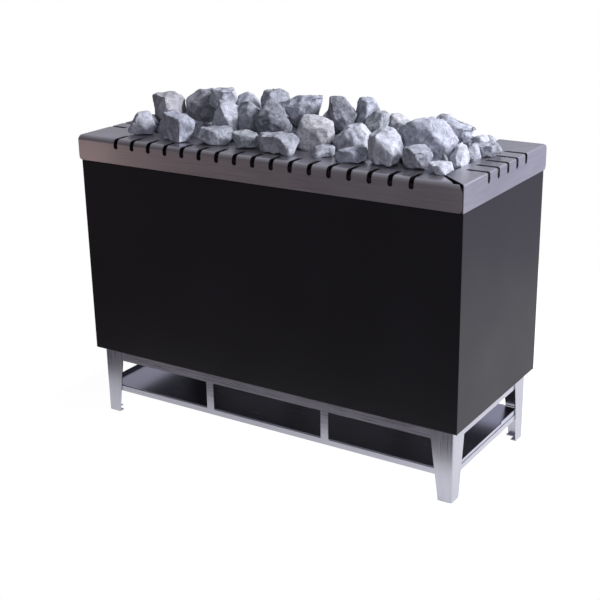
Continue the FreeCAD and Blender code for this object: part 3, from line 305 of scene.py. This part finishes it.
# %% Camera
WIDTH = cad_box[1].x - cad_box[0].x
AZIMUTH, ELEVATION, ROLL = math.radians(32.88), math.radians(19.66), math.radians(-1.03)
DISTANCE = 2.998 * WIDTH
ASIDE, RAISE = -0.0236 * WIDTH, 0.3029 * WIDTH
LENS_MM = 72.3

back = Vector((math.sin(AZIMUTH) * math.cos(ELEVATION), -math.cos(AZIMUTH) * math.cos(ELEVATION),
               math.sin(ELEVATION)))
level_right = (-back).cross(Vector((0, 0, 1))).normalized()
level_up = level_right.cross(-back)
right = level_right * math.cos(ROLL) + level_up * math.sin(ROLL)
up = level_up * math.cos(ROLL) - level_right * math.sin(ROLL)
camera = bpy.data.objects.new("camera", bpy.data.cameras.new("camera"))
bpy.context.scene.collection.objects.link(camera)
camera.data.sensor_width = 36
camera.data.lens = LENS_MM
place = back * DISTANCE + right * ASIDE + up * RAISE
camera.matrix_world = Matrix.Translation(place) @ Matrix((right, up, back)).transposed().to_4x4()
bpy.context.scene.camera = camera
print("camera at", [round(value, 3) for value in place])

# %% [markdown]
# ## Light
#
# The light is that of a plain studio: a large softbox high at the right, a weak one in front,
# a small warm one low at the front left, a room that is bright behind and dim in front, and a
# white floor. Steel mirrors the room, so the room's brightness is what shapes the rim: its
# front flange looks to the dim side and its right one to the bright side. The world shader
# makes such a room from the direction of each ray. Mirrored rays see it bright, so the steel
# shines. Scattered rays see it dim, so the stones keep their shade. The camera itself sees
# plain white.

# %% World
MIRRORED_ROOM, SCATTERED_ROOM = 0.95, 0.34
scene = bpy.context.scene
scene.view_settings.view_transform = "Standard"
world = bpy.data.worlds.new("studio")
scene.world = world
world.use_nodes = True
sky = world.node_tree
sky.nodes.clear()
direction = add(sky, "ShaderNodeTexCoord").outputs["Generated"]
towards = Vector((0.8, 0.5, 0.15)).normalized()
facing = add(sky, "ShaderNodeVectorMath", {"operation": "DOT_PRODUCT"}, _0=direction,
             _1=towards).outputs["Value"]
level = add(sky, "ShaderNodeMapRange", Value=facing, From_Min=-1.0, From_Max=1.0).outputs[0]
room = ramp(sky, level, [(0.1, linear("#6A6469")), (0.5, linear("#BEBEC8")),
                         (0.9, linear("#DADAF2"))])
mirrored = add(sky, "ShaderNodeBackground", Color=room, Strength=MIRRORED_ROOM)
ambient = add(sky, "ShaderNodeBackground", Color=room, Strength=SCATTERED_ROOM)
white = add(sky, "ShaderNodeBackground", Color=grey(1.0), Strength=1.0)
ray = add(sky, "ShaderNodeLightPath").outputs
unseen = add(sky, "ShaderNodeMixShader", _0=ray["Is Glossy Ray"], _1=ambient.outputs[0],
             _2=mirrored.outputs[0])
seen = add(sky, "ShaderNodeMixShader", _0=ray["Is Camera Ray"], _1=unseen.outputs[0],
           _2=white.outputs[0])
add(sky, "ShaderNodeOutputWorld", Surface=seen.outputs[0])
print("the room is brightest towards", [round(value, 2) for value in towards])

# %% Softboxes
LIT_POINT = Vector((0, 0, 0.6))


def softbox(name, at, size, watts, colour):
    """A square area light at a point, turned towards the heater."""
    light = bpy.data.objects.new(name, bpy.data.lights.new(name, "AREA"))
    light.data.shape = "SQUARE"
    light.data.size = size
    light.data.energy = watts
    light.data.color = linear(colour)[:3]
    scene.collection.objects.link(light)
    turn = (LIT_POINT - Vector(at)).to_track_quat("-Z", "Y").to_matrix().to_4x4()
    light.matrix_world = Matrix.Translation(at) @ turn
    print(name, "light,", watts, "W, at", at)


softbox("key", (2.4, 0.5, 2.6), 1.3, 150, "#F8F8FF")
softbox("fill", (1.2, -3.0, 1.8), 1.8, 13, "#F4F4FF")
softbox("warm_edge", (-2.35, -1.9, 0.1), 0.5, 1.1, "#FFD9CC")

# %% [markdown]
# ## Floor
#
# The floor is a white sheet that gives off a little light of its own, as a lit paper sweep
# seems to, so it stays white right up to the feet. It ends a little in front of the heater: the
# steel mirrors it, and only the lower part of the legs should see it.

# %% Floor
FLOOR_SIZE, FLOOR_FRONT, FLOOR_MIDDLE_X = 1.9, -0.38, 0.25
FLOOR_GLOW = 0.93
bpy.ops.mesh.primitive_plane_add(size=FLOOR_SIZE,
                                 location=(FLOOR_MIDDLE_X, FLOOR_FRONT + FLOOR_SIZE / 2, 0))
floor = bpy.context.object
floor.name = "floor"
floor_paint, tree = new_material("pale_floor")
dust = add(tree, "ShaderNodeTexNoise", Vector=object_place(tree), Scale=1.5).outputs["Fac"]
floor_tint = ramp(tree, dust, [(0.0, grey(0.26)), (1.0, grey(0.32))])
finish_material(floor_paint, add(tree, "ShaderNodeBsdfPrincipled", Base_Color=floor_tint,
                                 Roughness=0.9, Emission_Color=grey(1.0),
                                 Emission_Strength=FLOOR_GLOW))
floor.data.materials.append(floor_paint)
print("floor", FLOOR_SIZE, "m square")

# %% [markdown]
# ## Finishes on the CAD parts
#
# Sheets, screws and tubes keep their CAD shape, which is exact, and only get their finish. Each
# node's name says what it is, so a short table from the start of the name to the material does
# the whole job.

# %% Finishes
finishes = {
    "rim_front": rim_along_x, "rim_back": rim_along_x,
    "rim_left": rim_along_y, "rim_right": rim_along_y,
    "casing_screws": zinc_plate, "casing_": casing_paint, "base_pan": casing_paint,
    "liner_": inner_steel, "heat_shield": inner_steel, "stone_grate": inner_steel,
    "wiring_channel": inner_steel, "element_carrier": inner_steel,
    "heating_element": element_steel, "element_nuts": zinc_plate, "earth_stud": zinc_plate,
    "terminal_screws": zinc_plate, "terminal_block": steatite, "cable_gland": nylon,
    "leg_": stand_along_z, "stand_sheet": stand_along_x, "rail_": stand_along_y,
    "shelf_": shelf_steel, "stones_": rocks["dark"], "crown_stone": rocks["dark"],
}


def finish_of(node_name):
    """The material of the first start that the node's name has."""
    return next(finish for start, finish in finishes.items() if node_name.startswith(start))


for node_name, node in nodes.items():
    for slot in node.material_slots:
        slot.material = finish_of(node_name)
print(len(nodes), "nodes have a finish")

# %% [markdown]
# ## Broken rock
#
# In CAD a stone is a convex block bounded by flat breaks. Real rock breaks less neatly: a face
# is dished or stepped, its edges are chipped, and the whole surface is rough. Each visible
# stone starts as a merged copy of its CAD block. A voxel remesh gives it an even skin of small
# quads, and three displacements work that skin: wide dents, then chips with ridges between
# them, then grain. The texture is sampled at each stone's own place, so no two stones get the
# same face. The stones of a node are joined again, and the piece replaces the node. The core
# and the shoulder of the heap hardly show, so they stay CAD blocks.

# %% Take a heap apart
MERGE_MM = 0.02
FLAT = math.radians(2)


def select_only(piece):
    """Selects one object and makes it active."""
    bpy.ops.object.select_all(action="DESELECT")
    piece.select_set(True)
    bpy.context.view_layer.objects.active = piece


def middle_of(piece):
    """The middle of an object's box."""
    corners = [Vector(corner) for corner in piece.bound_box]
    return sum(corners, Vector()) / len(corners)


def loose_stones(node_name):
    """A merged copy of a CAD node, as one object for each stone, from left to right."""
    heap = bpy.data.objects.new("heap", nodes[node_name].data.copy())
    scene.collection.objects.link(heap)
    select_only(heap)
    bpy.ops.mesh.customdata_custom_splitnormals_clear()
    bpy.ops.object.mode_set(mode="EDIT")
    bpy.ops.mesh.select_all(action="SELECT")
    bpy.ops.mesh.remove_doubles(threshold=MERGE_MM * MM)
    bpy.ops.mesh.dissolve_limited(angle_limit=FLAT)
    bpy.ops.mesh.separate(type="LOOSE")
    bpy.ops.object.mode_set(mode="OBJECT")
    stones = list(bpy.context.selected_objects)
    return sorted(stones, key=lambda stone: tuple(round(value, 2) for value in middle_of(stone)))


print("corners closer than", MERGE_MM, "mm are merged")

# %% Textures for the displacements
def rock_texture(name, kind, size_mm, **settings):
    """A noise whose features are about this many millimetres wide."""
    texture = bpy.data.textures.new(name, kind)
    texture.noise_scale = size_mm * MM
    for setting, value in settings.items():
        setattr(texture, setting, value)
    return texture


dents = rock_texture("rock_dents", "CLOUDS", 40, noise_depth=1)
chips = rock_texture("rock_chips", "VORONOI", 24, distance_metric="DISTANCE",
                     color_mode="INTENSITY")
rock_grain = rock_texture("rock_grain", "CLOUDS", 4.5, noise_depth=3)
print("rock textures:", dents.name, chips.name, rock_grain.name)

# %% Break one stone
CHAMFER_MM = 2.5
SHARP = math.radians(35)
# depths in mm, then the texture values that stay in place: dents swell a stone as much as they
# hollow it, or they mostly go in, as on the stones that are lifted
DENT_MM, CHIP_MM, GRAIN_MM = 4.0, 7.0, 1.4
SWELLING = (0.5, 0.6, 0.5)
INWARD = (0.85, 0.9, 0.8)


def shape_with(stone, kind, **settings):
    """Adds one modifier to a stone and applies it."""
    modifier = stone.modifiers.new(kind.lower(), kind)
    for setting, value in settings.items():
        setattr(modifier, setting, value)
    bpy.ops.object.modifier_apply(modifier=modifier.name)


def wear(stone, texture, depth_mm, middle):
    """Moves the skin along its normals; middle is the texture value that stays in place."""
    shape_with(stone, "DISPLACE", texture=texture, texture_coords="LOCAL",
               strength=depth_mm * MM, mid_level=middle)


def break_stone(stone, skin_mm, middles, rounding):
    """Chamfers a block, gives it a fine skin, rounds it a little and wears it."""
    select_only(stone)
    shape_with(stone, "BEVEL", width=CHAMFER_MM * MM, segments=1, limit_method="ANGLE",
               angle_limit=SHARP)
    shape_with(stone, "REMESH", mode="VOXEL", voxel_size=skin_mm * MM)
    bpy.ops.object.origin_set(type="ORIGIN_GEOMETRY", center="BOUNDS")
    shape_with(stone, "CAST", cast_type="SPHERE", factor=rounding)
    bpy.ops.object.transform_apply(location=True, rotation=False, scale=False)
    shape_with(stone, "SMOOTH", factor=0.5, iterations=1)
    for texture, depth_mm, middle in zip((dents, chips, rock_grain),
                                         (DENT_MM, CHIP_MM, GRAIN_MM), middles):
        wear(stone, texture, depth_mm, middle)
    bpy.ops.object.shade_smooth()


print("chips up to", CHIP_MM, "mm deep")

# %% Break a node's stones
SKIN_MM = 2.2
FILLING_SKIN_MM = 3.4
# how far each kind of stone is rounded towards a ball, as a share of the way
ROUNDING = {"pale": 0.16, "blue": 0.12, "grey": 0.08, "green": 0.12, "dark": 0.08,
            "beige": 0.42, "brown": 0.12}


def broken_rock(node_name, kinds, body, skin_mm=SKIN_MM, middles=SWELLING):
    """Replaces a node's blocks with broken stones; kinds are their rocks from left to right."""
    stones = loose_stones(node_name)
    for place, stone in enumerate(stones):
        kind = kinds[place % len(kinds)]
        break_stone(stone, skin_mm, middles, ROUNDING[kind])
        stone.data.materials.clear()
        stone.data.materials.append(rocks[kind])
    bpy.ops.object.select_all(action="DESELECT")
    for stone in stones:
        stone.select_set(True)
    bpy.context.view_layer.objects.active = stones[0]
    if len(stones) > 1:
        bpy.ops.object.join()
    piece = bpy.context.view_layer.objects.active
    piece.name = f"broken_{node_name}"
    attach(piece, body)
    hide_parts(node_name)
    print(piece.name, len(stones), "stones,", len(piece.data.polygons), "faces")


print("rounding:", ROUNDING)

# %% Break the heap
heap_kinds = {
    "stones_front_left": ["pale", "blue", "grey"],
    "stones_front_middle": ["green", "grey", "grey", "blue"],
    "stones_front_right": ["pale", "grey", "pale"],
    "stones_second_left": ["beige", "brown", "pale", "grey", "dark"],
    "stones_second_right": ["beige", "pale", "blue", "pale", "grey"],
    "stones_third": ["grey", "pale", "grey", "pale", "grey", "blue", "blue", "green", "beige",
                     "grey", "grey", "pale"],
    "stones_back": ["grey", "pale", "blue", "beige", "green"],
    "stones_filling": ["dark", "brown", "dark"],
}
for node_name, kinds in heap_kinds.items():
    filling = node_name == "stones_filling"
    broken_rock(node_name, kinds, "heater", FILLING_SKIN_MM if filling else SKIN_MM)

# %% Break the crown
for number, kind in enumerate(["pale", "grey", "blue", "dark", "blue"], start=1):
    broken_rock(f"crown_stone_{number}", [kind], f"crown_stone_{number}", middles=INWARD)
